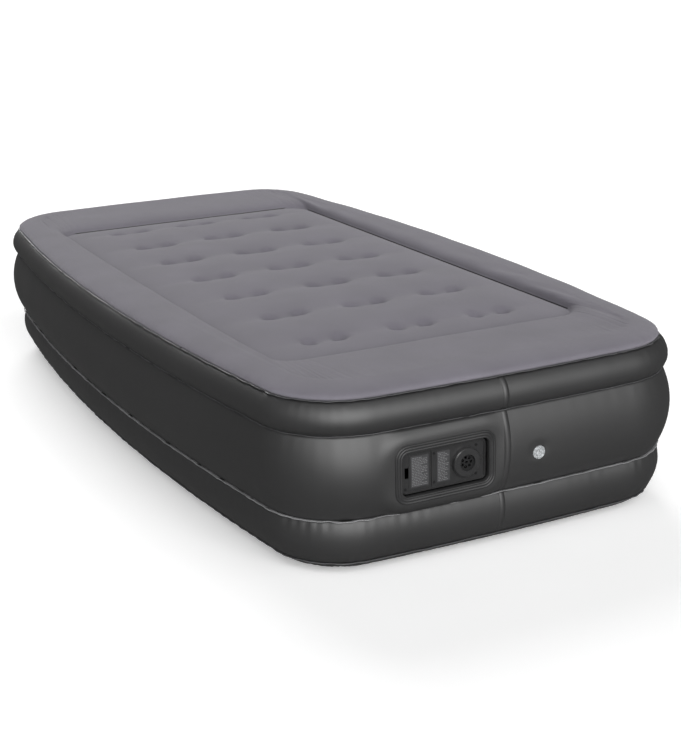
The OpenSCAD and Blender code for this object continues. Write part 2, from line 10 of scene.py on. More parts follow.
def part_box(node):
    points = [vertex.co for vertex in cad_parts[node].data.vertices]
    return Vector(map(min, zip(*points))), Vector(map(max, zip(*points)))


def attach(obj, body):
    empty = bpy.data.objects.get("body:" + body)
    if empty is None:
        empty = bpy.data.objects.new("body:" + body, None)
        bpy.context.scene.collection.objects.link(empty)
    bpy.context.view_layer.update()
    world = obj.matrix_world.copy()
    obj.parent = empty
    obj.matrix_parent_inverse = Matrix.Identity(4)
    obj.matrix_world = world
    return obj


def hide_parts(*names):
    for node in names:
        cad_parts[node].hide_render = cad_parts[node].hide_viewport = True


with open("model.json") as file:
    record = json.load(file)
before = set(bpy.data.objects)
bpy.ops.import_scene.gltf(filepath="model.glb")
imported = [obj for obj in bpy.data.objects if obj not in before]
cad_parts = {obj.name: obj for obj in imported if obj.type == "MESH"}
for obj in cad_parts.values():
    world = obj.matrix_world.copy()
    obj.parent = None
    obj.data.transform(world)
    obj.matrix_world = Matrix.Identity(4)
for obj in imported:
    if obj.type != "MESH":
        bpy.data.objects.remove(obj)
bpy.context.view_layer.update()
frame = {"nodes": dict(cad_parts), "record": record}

rng = np.random.default_rng(7)
scene = bpy.context.scene

# ---------------------------------------------------------------- camera
AZIMUTH, ELEVATION, ROLL = math.radians(-26.3), math.radians(17.5), math.radians(-1.55)
DISTANCE = 3.625
TARGET = Vector((0.129, 0.005, 0.057))
LENS = 72.7


def make_camera():
    back = Vector((math.sin(AZIMUTH) * math.cos(ELEVATION), -math.cos(AZIMUTH) * math.cos(ELEVATION),
                   math.sin(ELEVATION)))
    right = (-back).cross(Vector((0, 0, 1))).normalized()
    up = right.cross(-back)
    x_axis = math.cos(ROLL) * right + math.sin(ROLL) * up
    y_axis = back.cross(x_axis)
    camera = bpy.data.objects.new("camera", bpy.data.cameras.new("camera"))
    camera.data.lens = LENS
    camera.data.clip_start = 0.05
    turn = Matrix((x_axis, y_axis, back)).transposed().to_4x4()
    camera.matrix_world = Matrix.Translation(TARGET + back * DISTANCE) @ turn
    scene.collection.objects.link(camera)
    scene.camera = camera


make_camera()

# ---------------------------------------------------------------- the bed's own lines, in metres
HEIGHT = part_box("top_sheet")[1].z
HALF_W, HALF_L = 0.485, 0.955
SIDE_BOW, END_BOW, CORNER_R = 0.045, 0.008, 0.175
LOW_GROOVE, HIGH_GROOVE, TOP_SEAM = 0.1113, 0.2703, 0.3306
BASE_INSET, LOW_INSET, HIGH_INSET, SEAM_INSET = 0.040, 0.026, 0.018, 0.028
# the base weld stands a little above the floor, with the base sheet curving up to it
BASE_Z = 0.025
FLOOR_INSET = 0.095
LOW_SWELL, MIDDLE_SWELL, UPPER_SWELL = 0.014, 0.022, 0.016
WELD_Z, CROWN, PIT = HEIGHT - 0.022, 0.0205, 0.0120
DECK_HALF_W, DECK_HALF_L, DECK_CORNER = 0.345, 0.670, 0.060
FILM = 0.0006
STEP = 0.006

# the plan outline: side, corner and end arcs, all tangent, as in the CAD
side_ref, end_ref = HALF_L - CORNER_R, HALF_W - CORNER_R
side_r = (side_ref ** 2 + SIDE_BOW ** 2) / (2 * SIDE_BOW)
end_r = (end_ref ** 2 + END_BOW ** 2) / (2 * END_BOW)
side_c = np.array([HALF_W - side_r, 0.0])
end_c = np.array([0.0, HALF_L - end_r])
gap = end_c - side_c
gap_len = np.hypot(*gap)
along = ((side_r - CORNER_R) ** 2 - (end_r - CORNER_R) ** 2 + gap_len ** 2) / (2 * gap_len)
across = math.sqrt((side_r - CORNER_R) ** 2 - along ** 2)
corner_c = side_c + along * gap / gap_len + across * np.array([-gap[1], gap[0]]) / gap_len
side_a = math.atan2(*(corner_c - side_c)[::-1])
end_a = math.atan2(*(corner_c - end_c)[::-1])


def arc(centre, r, a0, a1, count):
    """Points, outward normals and how far along the arc each one is."""
    t = (np.arange(count) + 0.5) / count
    a = a0 + (a1 - a0) * t
    normal = np.c_[np.cos(a), np.sin(a)]
    return centre + r * normal, normal, t


def quarter_outline():
    parts = [(side_c, side_r, 0, side_a), (corner_c, CORNER_R, side_a, end_a),
             (end_c, end_r, end_a, math.pi / 2)]
    made = [arc(c, r, a0, a1, max(8, round(r * abs(a1 - a0) / STEP))) for c, r, a0, a1 in parts]
    return [np.concatenate([m[k] for m in made]) for k in range(2)], [m[2] for m in made]


def whole_loop(q):
    """A quarter's points or normals, mirrored into the whole loop, anticlockwise from the middle of +X."""
    half = np.concatenate([q, q[::-1] * [-1, 1]])
    return np.concatenate([half, half[::-1] * [1, -1]])


(quarter_p, quarter_n), quarter_t = quarter_outline()
POINT, NORMAL = whole_loop(quarter_p), whole_loop(quarter_n)
COLUMNS = len(POINT)


def weld_loop(half_w, half_l, r):
    """The weld line inside the bolster, with one point for each column of the outline."""
    side_t, corner_t, end_t = quarter_t
    side = np.c_[np.full(len(side_t), half_w), side_t * (half_l - r)]
    a = corner_t * math.pi / 2
    corner = np.c_[half_w - r + r * np.cos(a), half_l - r + r * np.sin(a)]
    end = np.c_[(half_w - r) * (1 - end_t), np.full(len(end_t), half_l)]
    return whole_loop(np.concatenate([side, corner, end]))


perimeter = np.cumsum(np.hypot(*(np.roll(POINT, -1, 0) - POINT).T))
AROUND = np.concatenate([[0], perimeter[:-1]]) / perimeter[-1] * 2 * math.pi
# near 1 at the bend of a corner, fading along the sides and ends
CORNER_BEND, CORNER_FADE = 0.12, 0.13
near_corner = np.exp(-np.min(np.stack([
    np.hypot(POINT[:, 0] - sx * corner_c[0] - sx * CORNER_BEND,
             POINT[:, 1] - sy * corner_c[1] - sy * CORNER_BEND)
    for sx in (-1, 1) for sy in (-1, 1)]), 0) / CORNER_FADE)


def ripple(low, high, count, slant=0.0):
    """A smooth noise round the loop, made of whole waves, so it closes. slant turns it with height."""
    waves = rng.integers(low, high, count)
    phase = rng.uniform(0, 2 * math.pi, count)
    lean = rng.uniform(-slant, slant, count)
    size = 1 / np.sqrt(count)

    def value(t):
        total = np.zeros((len(np.atleast_1d(t)), COLUMNS))
        for w, p, l in zip(waves, phase, lean):
            total += np.sin(w * AROUND[None] + p + l * np.atleast_1d(t)[:, None])
        return total * size
    return value


def bulge(t, chord, swell):
    """Height of a circular arc over its chord, at t from 0 to 1."""
    half = chord / 2
    r = (half ** 2 + swell ** 2) / (2 * swell)
    return np.sqrt(r ** 2 - (half * (2 * t - 1)) ** 2) - (r - swell)


# ---------------------------------------------------------------- mesh helpers
def new_object(name, verts, faces, smooth=True):
    mesh = bpy.data.meshes.new(name)
    mesh.from_pydata([tuple(v) for v in verts], [], faces)
    mesh.validate()
    mesh.update()
    mesh.polygons.foreach_set("use_smooth", [smooth] * len(mesh.polygons))
    made = bpy.data.objects.new(name, mesh)
    scene.collection.objects.link(made)
    return made


def grid_faces(rows, columns, closed=True, keep=None):
    faces = []
    last = columns if closed else columns - 1
    for i in range(rows - 1):
        for j in range(last):
            if keep is not None and not keep[i, j]:
                continue
            k = (j + 1) % columns
            faces.append((i * columns + j, i * columns + k, (i + 1) * columns + k, (i + 1) * columns + j))
    return faces


def thicken(made, thickness, offset=-1):
    wall = made.modifiers.new("film", "SOLIDIFY")
    wall.thickness = thickness
    wall.offset = offset
    wall.use_rim = True


def finish_piece(made, body, slot, material, *nodes, fill=None):
    made.data.materials.clear()
    made.data.materials.append(material)
    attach(made, body)
    if nodes:
        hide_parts(*nodes)
    return made


# ---------------------------------------------------------------- materials
def socket(shader, *names):
    """The shader's input, by whichever of its names this Blender knows."""
    for name in names:
        if name in shader.inputs:
            return shader.inputs[name]
    raise KeyError(names)


FINE_SHARE = 0.45
BUMP_STRENGTH = 0.6


def surface(name, colour, rough, vary=0.15, rough_vary=0.08, grain=900.0, height=0.0002, blotch=6.0,
            metallic=0.0, sheen=0.0, coat=0.0, shine=0.5, glow=0.0, alpha=1.0, stretch=(1, 1, 1),
            second=None):
    """A procedural finish: blotchy colour, uneven roughness and a finely grained relief."""
    mat = bpy.data.materials.new(name)
    mat.use_nodes = True
    nodes, links = mat.node_tree.nodes, mat.node_tree.links
    shader = nodes["Principled BSDF"]
    coords = nodes.new("ShaderNodeTexCoord")
    mapping = nodes.new("ShaderNodeMapping")
    mapping.inputs["Scale"].default_value = stretch
    links.new(coords.outputs["Object"], mapping.inputs["Vector"])

    def noise(scale, detail):
        tex = nodes.new("ShaderNodeTexNoise")
        tex.inputs["Scale"].default_value = scale
        tex.inputs["Detail"].default_value = detail
        links.new(mapping.outputs["Vector"], tex.inputs["Vector"])
        return tex.outputs["Fac"]

    broad, fine = noise(blotch, 4), noise(grain, 2)
    ramp = nodes.new("ShaderNodeValToRGB")
    dark = [c * (1 - vary) for c in colour]
    light = list(second) if second else [min(1, c * (1 + vary)) for c in colour]
    ramp.color_ramp.elements[0].position, ramp.color_ramp.elements[1].position = 0.3, 0.7
    ramp.color_ramp.elements[0].color = (*dark, 1)
    ramp.color_ramp.elements[1].color = (*light, 1)
    blend = nodes.new("ShaderNodeMath")
    blend.operation = "MULTIPLY_ADD"
    blend.inputs[1].default_value = FINE_SHARE
    links.new(fine, blend.inputs[0])
    share = nodes.new("ShaderNodeMath")
    share.operation = "MULTIPLY"
    share.inputs[1].default_value = 1 - FINE_SHARE
    links.new(broad, share.inputs[0])
    links.new(share.outputs[0], blend.inputs[2])
    links.new(blend.outputs[0], ramp.inputs["Fac"])
    links.new(ramp.outputs["Color"], shader.inputs["Base Color"])

    spread = nodes.new("ShaderNodeMapRange")
    spread.inputs["To Min"].default_value = max(0.02, rough - rough_vary)
    spread.inputs["To Max"].default_value = min(1, rough + rough_vary)
    links.new(broad, spread.inputs["Value"])
    links.new(spread.outputs["Result"], shader.inputs["Roughness"])

    bump = nodes.new("ShaderNodeBump")
    bump.inputs["Distance"].default_value = height
    bump.inputs["Strength"].default_value = BUMP_STRENGTH
    links.new(fine, bump.inputs["Height"])
    links.new(bump.outputs["Normal"], shader.inputs["Normal"])

    shader.inputs["Metallic"].default_value = metallic
    shader.inputs["Alpha"].default_value = alpha
    socket(shader, "Specular IOR Level", "Specular").default_value = shine
    socket(shader, "Emission Color", "Emission").default_value = (1, 1, 1, 1)
    socket(shader, "Emission Strength").default_value = glow
    socket(shader, "Sheen Weight", "Sheen").default_value = sheen
    socket(shader, "Coat Weight", "Clearcoat").default_value = coat
    return mat


# name: colour and roughness, then what differs from a plain surface
FINISH_SPECS = {
    "flock": ((0.146, 0.138, 0.161), 0.95, dict(vary=0.13, grain=1500, height=0.0007, blotch=11, sheen=0.10)),
    "film": ((0.017, 0.017, 0.0173), 0.52, dict(vary=0.12, rough_vary=0.07, grain=420, height=0.00012,
                                                blotch=3.5, shine=1.0)),
    # painted highlight: a pale finish that stands in for the light caught along the low groove's lip
    "painted_highlight_edge": ((0.22, 0.22, 0.225), 0.25, dict(grain=700, height=0.0002, blotch=14, vary=0.5, coat=0.5)),
    "weld": ((0.085, 0.085, 0.088), 0.30, dict(grain=700, height=0.00025, blotch=20)),
    "surround": ((0.020, 0.020, 0.0205), 0.46, dict(grain=1100, height=0.0002, blotch=18)),
    "panel_plastic": ((0.022, 0.022, 0.0225), 0.30, dict(grain=2600, height=0.0001, blotch=30, coat=0.35)),
    "black_plastic": ((0.004, 0.004, 0.0045), 0.55, dict(grain=2200, height=0.00008, blotch=30)),
    "grey_plastic": ((0.25, 0.25, 0.26), 0.42, dict(grain=1800, height=0.00008, blotch=30)),
    "red_plastic": ((0.40, 0.05, 0.03), 0.25, dict(grain=1800, height=0.00005, blotch=40)),
    "label": ((0.036, 0.036, 0.038), 0.5, dict(vary=0.3, grain=1400, height=0.00005, blotch=90)),
    "rubber": ((0.018, 0.018, 0.018), 0.7, dict(grain=1200, height=0.0001, blotch=30)),
    "steel": ((0.55, 0.56, 0.58), 0.28, dict(vary=0.08, grain=900, height=0.00004, blotch=40, metallic=1,
                                             stretch=(1, 1, 9))),
    "copper": ((0.60, 0.32, 0.18), 0.32, dict(grain=1500, height=0.00015, blotch=40, metallic=1,
                                              stretch=(9, 1, 1))),
    "bronze": ((0.55, 0.38, 0.18), 0.48, dict(grain=2200, height=0.0001, blotch=60, metallic=1)),
    "clear_film": ((0.16, 0.17, 0.175), 0.10, dict(vary=0.5, rough_vary=0.06, grain=700, height=0.0004,
                                                   blotch=240, alpha=0.72, coat=0.8,
                                                   second=(0.80, 0.83, 0.85))),
    "ink": ((0.13, 0.13, 0.134), 0.5, dict(vary=0.25, grain=1500, height=0.00003, blotch=400)),
}
FINISH = {name: surface(name, colour, rough, **rest) for name, (colour, rough, rest) in FINISH_SPECS.items()}
SLOT_OF = {part["node"]: part["material_slot"] for part in frame["record"]["subparts"]}
for node, slot_name in SLOT_OF.items():
    cad = frame["nodes"][node]
    cad.data.materials.clear()
    cad.data.materials.append(FINISH[slot_name])

# ---------------------------------------------------------------- walls
surround_lo, surround_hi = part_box("pump_surround")
PUMP_X, PUMP_Z = (surround_lo.x + surround_hi.x) / 2, (surround_lo.z + surround_hi.z) / 2
SURROUND_HALF = ((surround_hi.x - surround_lo.x) / 2, (surround_hi.z - surround_lo.z) / 2)
SURROUND_R, PUMP_REACH = 0.026, 0.034
valve_lo, valve_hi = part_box("valve_body")
VALVE_X, VALVE_Z = (valve_lo.x + valve_hi.x) / 2, (valve_lo.z + valve_hi.z) / 2
VALVE_R, VALVE_CORNER, VALVE_REACH = 0.0125, 0.0124, 0.016
LIP_DEPTH = 0.003
PUMP_LIP_Y = surround_lo.y + LIP_DEPTH
VALVE_LIP_Y = valve_lo.y + LIP_DEPTH
# how far inside each fitting's edge the film is cut away
PUMP_OVERLAP, VALVE_OVERLAP = 0.009, 0.003


def rounded_distance(x, z, half_x, half_z, r):
    """Signed distance from a rounded rectangle, below 0 inside it."""
    qx, qz = np.abs(x) - half_x + r, np.abs(z) - half_z + r
    return np.hypot(np.maximum(qx, 0), np.maximum(qz, 0)) + np.minimum(np.maximum(qx, qz), 0) - r


GATHER, CORNER_GATHER, SWAY = 0.00022, 0.0016, 0.00045
GATHER_FADE, PINNED = 0.16, 0.05


def tier(z0, inset0, z1, inset1, swell, rows, slant, strength):
    """Rows of points up one swelling tier, with gathers at both welds that are stronger at the corners."""
    t = np.linspace(0, 1, rows)
    chord = math.hypot(z1 - z0, inset1 - inset0)
    out = bulge(t, chord, swell)
    gathers = ripple(70, 260, 14, slant)(t)
    broad = ripple(9, 40, 8, slant)(t)
    edge = np.exp(-t / GATHER_FADE) + np.exp(-(1 - t) / GATHER_FADE)
    pinned = np.minimum(1, np.minimum(t, 1 - t) / PINNED)[:, None]
    local = (GATHER + CORNER_GATHER * near_corner[None]) * strength
    move = (gathers * edge[:, None] * local + broad * SWAY * strength) * pinned
    inset = (inset0 + (inset1 - inset0) * t - out)[:, None] - move
    xy = POINT[None] - inset[..., None] * NORMAL[None]
    z = np.broadcast_to((z0 + (z1 - z0) * t)[:, None], inset.shape)
    return np.dstack([xy, z])


def sink_to(grid, x, z, half_x, half_z, r, lip_y, reach):
    """Draws the near end's film back to lip_y round a fitting, easing out over reach."""
    front = grid[..., 1] < 0
    gap_to = rounded_distance(grid[..., 0] - x, grid[..., 2] - z, half_x, half_z, r)
    share = np.clip(1 - gap_to / reach, 0, 1)
    share = share * share * (3 - 2 * share) * front
    grid[..., 1] = grid[..., 1] * (1 - share) + lip_y * share
    return gap_to, front


def wall_piece(name, grid, slot_name, nodes, keep=None):
    rows, columns = grid.shape[:2]
    made = new_object(name, grid.reshape(-1, 3), grid_faces(rows, columns, keep=keep))
    thicken(made, FILM)
    return finish_piece(made, "mattress", slot_name, FINISH[slot_name], *nodes, fill=1.0)


lower = tier(BASE_Z, BASE_INSET, LOW_GROOVE, LOW_INSET, LOW_SWELL, rows=24, slant=2.0, strength=1.15)
middle = tier(LOW_GROOVE, LOW_INSET, HIGH_GROOVE, HIGH_INSET, MIDDLE_SWELL, rows=32, slant=2.5, strength=0.3)
upper = tier(HIGH_GROOVE, HIGH_INSET, TOP_SEAM, SEAM_INSET, UPPER_SWELL, rows=16, slant=1.5, strength=1.0)
pump_gap, front = sink_to(middle, PUMP_X, PUMP_Z, *SURROUND_HALF, SURROUND_R, PUMP_LIP_Y, PUMP_REACH)
valve_gap, _ = sink_to(middle, VALVE_X, VALVE_Z, VALVE_R, VALVE_R, VALVE_CORNER, VALVE_LIP_Y, VALVE_REACH)
open_at = front & ((pump_gap < -PUMP_OVERLAP) | (valve_gap < -VALVE_OVERLAP))
open_next = np.roll(open_at, -1, 1)
keep = ~(open_at[:-1] & open_at[1:] & open_next[:-1] & open_next[1:])
wall_piece("lower_tier_film", lower, "film", ["lower_wall"])
wall_piece("middle_tier_film", middle, "film", ["middle_wall", "pump_wall_panel"], keep=keep)
wall_piece("upper_tier_film", upper, "film", ["upper_wall"])


LIP_WAVE, LIP_THICK, LIP_BEVEL = 0.0005, 0.0012, 0.8


def lip(name, z, inset, half_width, finish, nodes, notch=0.0, thick=LIP_THICK):
    """A flat weld edge that runs round the bed, with a slightly uneven outer line."""
    uneven = ripple(40, 200, 10)(np.zeros(1))[0] * (LIP_WAVE + notch * near_corner)
    lift = ripple(20, 120, 8)(np.zeros(1))[0] * LIP_WAVE
    profile = [(-half_width, -thick / 2), (half_width * LIP_BEVEL, -thick / 2), (half_width, 0),
               (half_width * LIP_BEVEL, thick / 2), (-half_width, thick / 2)]
    rows = []
    for out, up in profile + profile[:1]:
        reach = inset - out - (uneven if out > 0 else 0)
        height = np.full(COLUMNS, z + up) + (lift if out > 0 else 0)
        rows.append(np.c_[POINT - np.reshape(reach, (-1, 1)) * NORMAL, height])
    made = new_object(name, np.concatenate(rows), grid_faces(len(rows), COLUMNS))
    return finish_piece(made, "mattress", "weld", FINISH[finish], *nodes)


lip("top_seam_edge", TOP_SEAM + LIP_THICK / 2, SEAM_INSET, 0.0042, "weld", ["top_seam_flange"], notch=0.0012)
lip("high_groove_edge", HIGH_GROOVE, HIGH_INSET, 0.0022, "weld", [], thick=0.0011)
# the low groove's lip gets the pale finish, a painted highlight along its outer edge
lip("low_groove_edge", LOW_GROOVE, LOW_INSET, 0.0068, "painted_highlight_edge", [], notch=0.0008)
lip("base_seam_edge", BASE_Z - LIP_THICK / 2, BASE_INSET, 0.0034, "weld", ["base_seam_flange"], notch=0.0004)

STRIP_X, STRIP_HALF = -0.014, 0.007
STRIP_RISE, STRIP_CLEAR, STRIP_THICK = 0.00012, 0.00002, 0.0002


def lap_strip(name, grids, sign):
    """The overlap weld up one end: the wall's own surface there, raised a little in the middle."""
    verts, faces = [], []
    for grid in grids:
        columns = [j for j in range(COLUMNS) if grid[0, j, 1] * sign > 0
                   and abs(grid[0, j, 0] + sign * STRIP_X) < STRIP_HALF + STEP / 2]
        columns.sort(key=lambda j: grid[0, j, 0])
        start = len(verts)
        block = grid[:, columns].copy()
        ramp = np.linspace(-1, 1, len(columns))
        fade = np.sin(np.linspace(0, math.pi, len(grid)))[:, None]
        block[..., 1] += sign * (STRIP_RISE * fade * (1 - np.abs(ramp) ** 2)[None] + STRIP_CLEAR)
        verts += list(block.reshape(-1, 3))
        faces += [tuple(start + k for k in f) for f in grid_faces(len(grid), len(columns), closed=False)]
    made = new_object(name, verts, faces)
    thicken(made, STRIP_THICK)
    return made


near_strip = lap_strip("near_lap_weld", (lower, middle, upper), -1)
far_strip = lap_strip("far_lap_weld", (lower, middle, upper), 1)
finish_piece(near_strip, "mattress", "weld", FINISH["film"], "wall_lap_strips")
finish_piece(far_strip, "mattress", "weld", FINISH["film"])

# ---------------------------------------------------------------- flocked top
ROLL_HEIGHT, ROLL_WIDTH, ROLL_OUT = HEIGHT - TOP_SEAM - LIP_THICK, 0.056, 0.006
ROLL_ROWS, RING_ROWS = 14, 26
COIL_PITCH_X, COIL_PITCH_Y = 0.184, 0.190
COIL_X, COIL_Y = (-COIL_PITCH_X, 0.0, COIL_PITCH_X), [COIL_PITCH_Y * (i - 3) for i in range(7)]
COIL_HALF, COIL_SHIFT = 0.033, 0.0025
GRID, SWEEPS = 0.006, 1600
# how hard the sheet is held down along a coil's weld, at its two ends and along a row
WELD_HOLD, END_HOLD, ROW_HOLD = 0.55, 2.5, 0.060
WELD_R_X, WELD_R_Y = 0.006, 0.007
PIT_R, ROW_HALF_W, ROW_FADE, ROW_HALF_DEPTH = 0.013, 0.33, 0.06, 0.009


def deck_height():
    """Height of the deck over its weld line: a stretched sheet held down at the coils, by relaxation."""
    nx, ny = round(2 * DECK_HALF_W / GRID) + 1, round(2 * DECK_HALF_L / GRID) + 1
    x, y = np.meshgrid(np.linspace(-DECK_HALF_W, DECK_HALF_W, nx), np.linspace(-DECK_HALF_L, DECK_HALF_L, ny))
    hold, pits = np.zeros_like(x), np.zeros_like(x)
    for cx in COIL_X:
        for cy in COIL_Y:
            shift = rng.normal(0, COIL_SHIFT, 2)
            dx = np.maximum(np.abs(x - cx - shift[0]) - COIL_HALF, 0)
            hold += WELD_HOLD * np.exp(-(dx / WELD_R_X) ** 2 - ((y - cy - shift[1]) / WELD_R_Y) ** 2)
            for end in (-1, 1):
                away = np.hypot(x - cx - shift[0] - end * COIL_HALF, y - cy - shift[1])
                hold += END_HOLD * np.exp(-(away / WELD_R_X) ** 2)
                pits += np.exp(-(away / PIT_R) ** 2)
    for cy in COIL_Y:
        hold += (ROW_HOLD * np.exp(-((y - cy) / ROW_HALF_DEPTH) ** 2)
                 * np.clip((ROW_HALF_W - np.abs(x)) / ROW_FADE, 0, 1))
    inside = rounded_distance(x, y, DECK_HALF_W, DECK_HALF_L, DECK_CORNER) < -GRID / 2
    h = np.zeros_like(x)
    push = GRID * GRID
    for _ in range(SWEEPS):
        around = np.zeros_like(h)
        around[1:-1, 1:-1] = h[:-2, 1:-1] + h[2:, 1:-1] + h[1:-1, :-2] + h[1:-1, 2:]
        h = np.where(inside, (around + push) / (4 + hold), 0)
    return x[0], y[:, 0], h, pits


def sample(xs, ys, field, px, py):
    """The field's value at each point, blended from the four grid values round it."""
    i = np.clip((px - xs[0]) / (xs[1] - xs[0]), 0, len(xs) - 1.001)
    j = np.clip((py - ys[0]) / (ys[1] - ys[0]), 0, len(ys) - 1.001)
    i0, j0 = i.astype(int), j.astype(int)
    fi, fj = i - i0, j - j0
    return ((field[j0, i0] * (1 - fi) + field[j0, i0 + 1] * fi) * (1 - fj)
            + (field[j0 + 1, i0] * (1 - fi) + field[j0 + 1, i0 + 1] * fi) * fj)


SHEET_THICK, DECK_RELIEF = 0.0010, 0.80
# how deep the sheet's puckers are on the roll and on the ring, and what a corner adds to them
ROLL_PUCKER, ROLL_CORNER, ROLL_FADE = 0.0004, 0.0020, 0.7
RING_GATHER, RING_CORNER, RING_FADE = 0.00030, 0.0014, 0.18
CREASE, CREASE_FADE, CREASE_START = 0.0034, 0.30, 0.06
ROLL_SWAY, RING_SWAY = 0.0010, 0.0011
# how much the ring sags, and how wide it has to be to sag in full
SAG, SAG_WIDTH = 0.002, 0.2
# how the ring's rows crowd towards the weld line, and how it falls to it
ROW_CROWD, FALL_LATE, FALL_ROUND, EASE = 0.85, 5, 0.6, 0.7


def top_sheet():
    """The flocked top: a roll over the top seam, a ring down to the weld line, and the tufted deck."""
    rows = []
    pucker = ripple(60, 240, 16, 1.2)
    swell = ripple(6, 28, 8, 1.0)
    for i in range(ROLL_ROWS + 1):
        a = math.pi / 2 * i / ROLL_ROWS
        fade = math.sin(2 * a) * 0.7 + 0.3 * (i > 0)
        move = (pucker([a])[0] * (ROLL_PUCKER + ROLL_CORNER * near_corner) * math.exp(-a / ROLL_FADE)
                + swell([a])[0] * ROLL_SWAY) * fade
        inset = SEAM_INSET + ROLL_WIDTH * (1 - math.cos(a)) - ROLL_OUT * math.sin(2 * a) - move
        z = TOP_SEAM + LIP_THICK + ROLL_HEIGHT * math.sin(a)
        rows.append(np.c_[POINT - np.reshape(inset, (-1, 1)) * NORMAL, np.full(COLUMNS, z)])
    crest = rows[-1][:, :2]
    weld = weld_loop(DECK_HALF_W, DECK_HALF_L, DECK_CORNER)
    width = np.hypot(*(weld - crest).T)
    for i in range(1, RING_ROWS + 1):
        t = (i / RING_ROWS) ** ROW_CROWD
        xy = crest * (1 - t) + weld * t
        fall = (1 - t ** FALL_LATE) ** FALL_ROUND
        z = WELD_Z + (HEIGHT - WELD_Z) * fall
        ease = math.sin(math.pi * t) ** EASE
        crease = (-np.abs(pucker([1.4 + 0.4 * t])[0]) * CREASE * near_corner
                  * math.exp(-t / CREASE_FADE) * min(1, t / CREASE_START))
        gather = (pucker([2 + t])[0] * (RING_GATHER + RING_CORNER * near_corner)
                  * math.exp(-(1 - t) / RING_FADE))
        sag = SAG * np.clip(width / SAG_WIDTH, 0, 1)
        move = crease + (gather + swell([1.6 + t])[0] * RING_SWAY - sag) * ease
        rows.append(np.c_[xy, np.minimum(z + move, HEIGHT)])
    ring = np.concatenate(rows)
    faces = grid_faces(len(rows), COLUMNS)
    rim = np.arange(COLUMNS) + (len(rows) - 1) * COLUMNS

    xs, ys, h, pits = deck_height()
    h = CROWN * (h / h.max()) ** DECK_RELIEF - PIT * pits
    gx, gy = np.meshgrid(xs[1:-1], ys[1:-1])
    inner = rounded_distance(gx, gy, DECK_HALF_W, DECK_HALF_L, DECK_CORNER) < -GRID * 0.6
    deck = np.c_[gx[inner], gy[inner]]
    points = [Vector(p) for p in np.concatenate([weld, deck])]
    edges = [(j, (j + 1) % COLUMNS) for j in range(COLUMNS)]
    flat, _, triangles, origin, _, _ = delaunay_2d_cdt(points, edges, [], 1, 1e-7)
    index, extra = {}, []
    for k, point in enumerate(flat):
        first = origin[k][0] if origin[k] else None
        if first is not None and first < COLUMNS:
            index[k] = int(rim[first])
            continue
        index[k] = len(ring) + len(extra)
        rise = float(sample(xs, ys, h, np.array([point.x]), np.array([point.y]))[0])
        extra.append((point.x, point.y, WELD_Z + rise))
    faces += [tuple(index[k] for k in f) for f in triangles]
    made = new_object("flocked_top", list(ring) + extra, faces)
    turn = bmesh.new()
    turn.from_mesh(made.data)
    bmesh.ops.recalc_face_normals(turn, faces=turn.faces)
    turn.to_mesh(made.data)
    turn.free()
    thicken(made, SHEET_THICK)
    return finish_piece(made, "mattress", "flock", FINISH["flock"], "top_sheet", fill=0.95)


top_sheet()


BASE_REST, BASE_THICK, BASE_JOIN = 0.0006, 0.0005, 0.0018
BASE_PULL, BASE_WAVE, BASE_COVER = 0.0005, 0.0006, 0.98
CURVE_ROWS, BASE_RINGS = 12, 30


def base_panel():
    """The base sheet: flat on the floor, faintly waved, and curved up to its weld at the rim."""
    rise, run = BASE_Z - BASE_JOIN, FLOOR_INSET - BASE_INSET
    radius = (run ** 2 + rise ** 2) / (2 * rise)
    pull = ripple(50, 220, 12)([0.0])[0]
    rows = []
    for t in np.linspace(0, 1, CURVE_ROWS):
        out = run * (1 - t)
        height = radius - math.sqrt(radius ** 2 - out ** 2) + BASE_REST
        pinned = math.sin(math.pi * t)
        inset = BASE_INSET + run * t
        gather = np.abs(pull) * BASE_PULL * pinned * (1 + 2 * near_corner)
        rows.append(np.c_[POINT - inset * NORMAL, height + gather])
    flat = POINT - FLOOR_INSET * NORMAL
    # the rings stop just short of the middle, which leaves a small slot under the bed
    for t in np.linspace(0, 1, BASE_RINGS)[1:]:
        wave = BASE_WAVE * np.sin(AROUND * 3 + 9 * t) ** 2 * math.sin(math.pi * t)
        rows.append(np.c_[flat * (1 - BASE_COVER * t), BASE_REST + wave])
    made = new_object("base_film", np.concatenate(rows), grid_faces(len(rows), COLUMNS))
    thicken(made, BASE_THICK, offset=0)
    return finish_piece(made, "mattress", "film", FINISH["film"], "bottom_sheet", fill=1.0)


base_panel()


# how much a tube's top is flattened, and how far it stays below the lowest that a tuft could reach
FLATTENED, COIL_CLEAR = 0.93, 0.003
# how far up a tube starts to narrow, and how much its sides swell in and out
PINCH_FROM, TUBE_SWELL = 0.6, 0.06


def coil_tubes():
    """The air coils under the deck: film tubes, drawn in to a flat weld at the top."""
    lo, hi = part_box("air_coils")
    radius, sides, rows = (hi.x - lo.x) / 2 - COIL_X[2], 28, 12
    top = WELD_Z - PIT - COIL_CLEAR
    verts, faces = [], []
    for cx in COIL_X:
        for cy in COIL_Y:
            start = len(verts)
            for t in np.linspace(0, 1, rows):
                pinch = max(0, (t - PINCH_FROM) / (1 - PINCH_FROM)) ** 2
                a = np.arange(sides) / sides * 2 * math.pi
                swell = 1 - TUBE_SWELL * math.sin(3 * math.pi * t)
                narrow = 1 - FLATTENED * pinch
                z = lo.z + (top - lo.z) * t
                verts += [(cx + radius * math.cos(k) * swell,
                           cy + radius * math.sin(k) * swell * narrow, z) for k in a]
            faces += [tuple(start + k for k in f) for f in grid_faces(rows, sides)]
    made = new_object("coil_tubes", verts, faces)
    thicken(made, FILM, offset=0)
    return finish_piece(made, "mattress", "film", FINISH["film"], "air_coils")


coil_tubes()


# ---------------------------------------------------------------- pump surround
# a loop is found by stepping outwards along its rays, by a share of the distance that is left
TRACE_STEPS, TRACE_SHARE = 40, 0.6


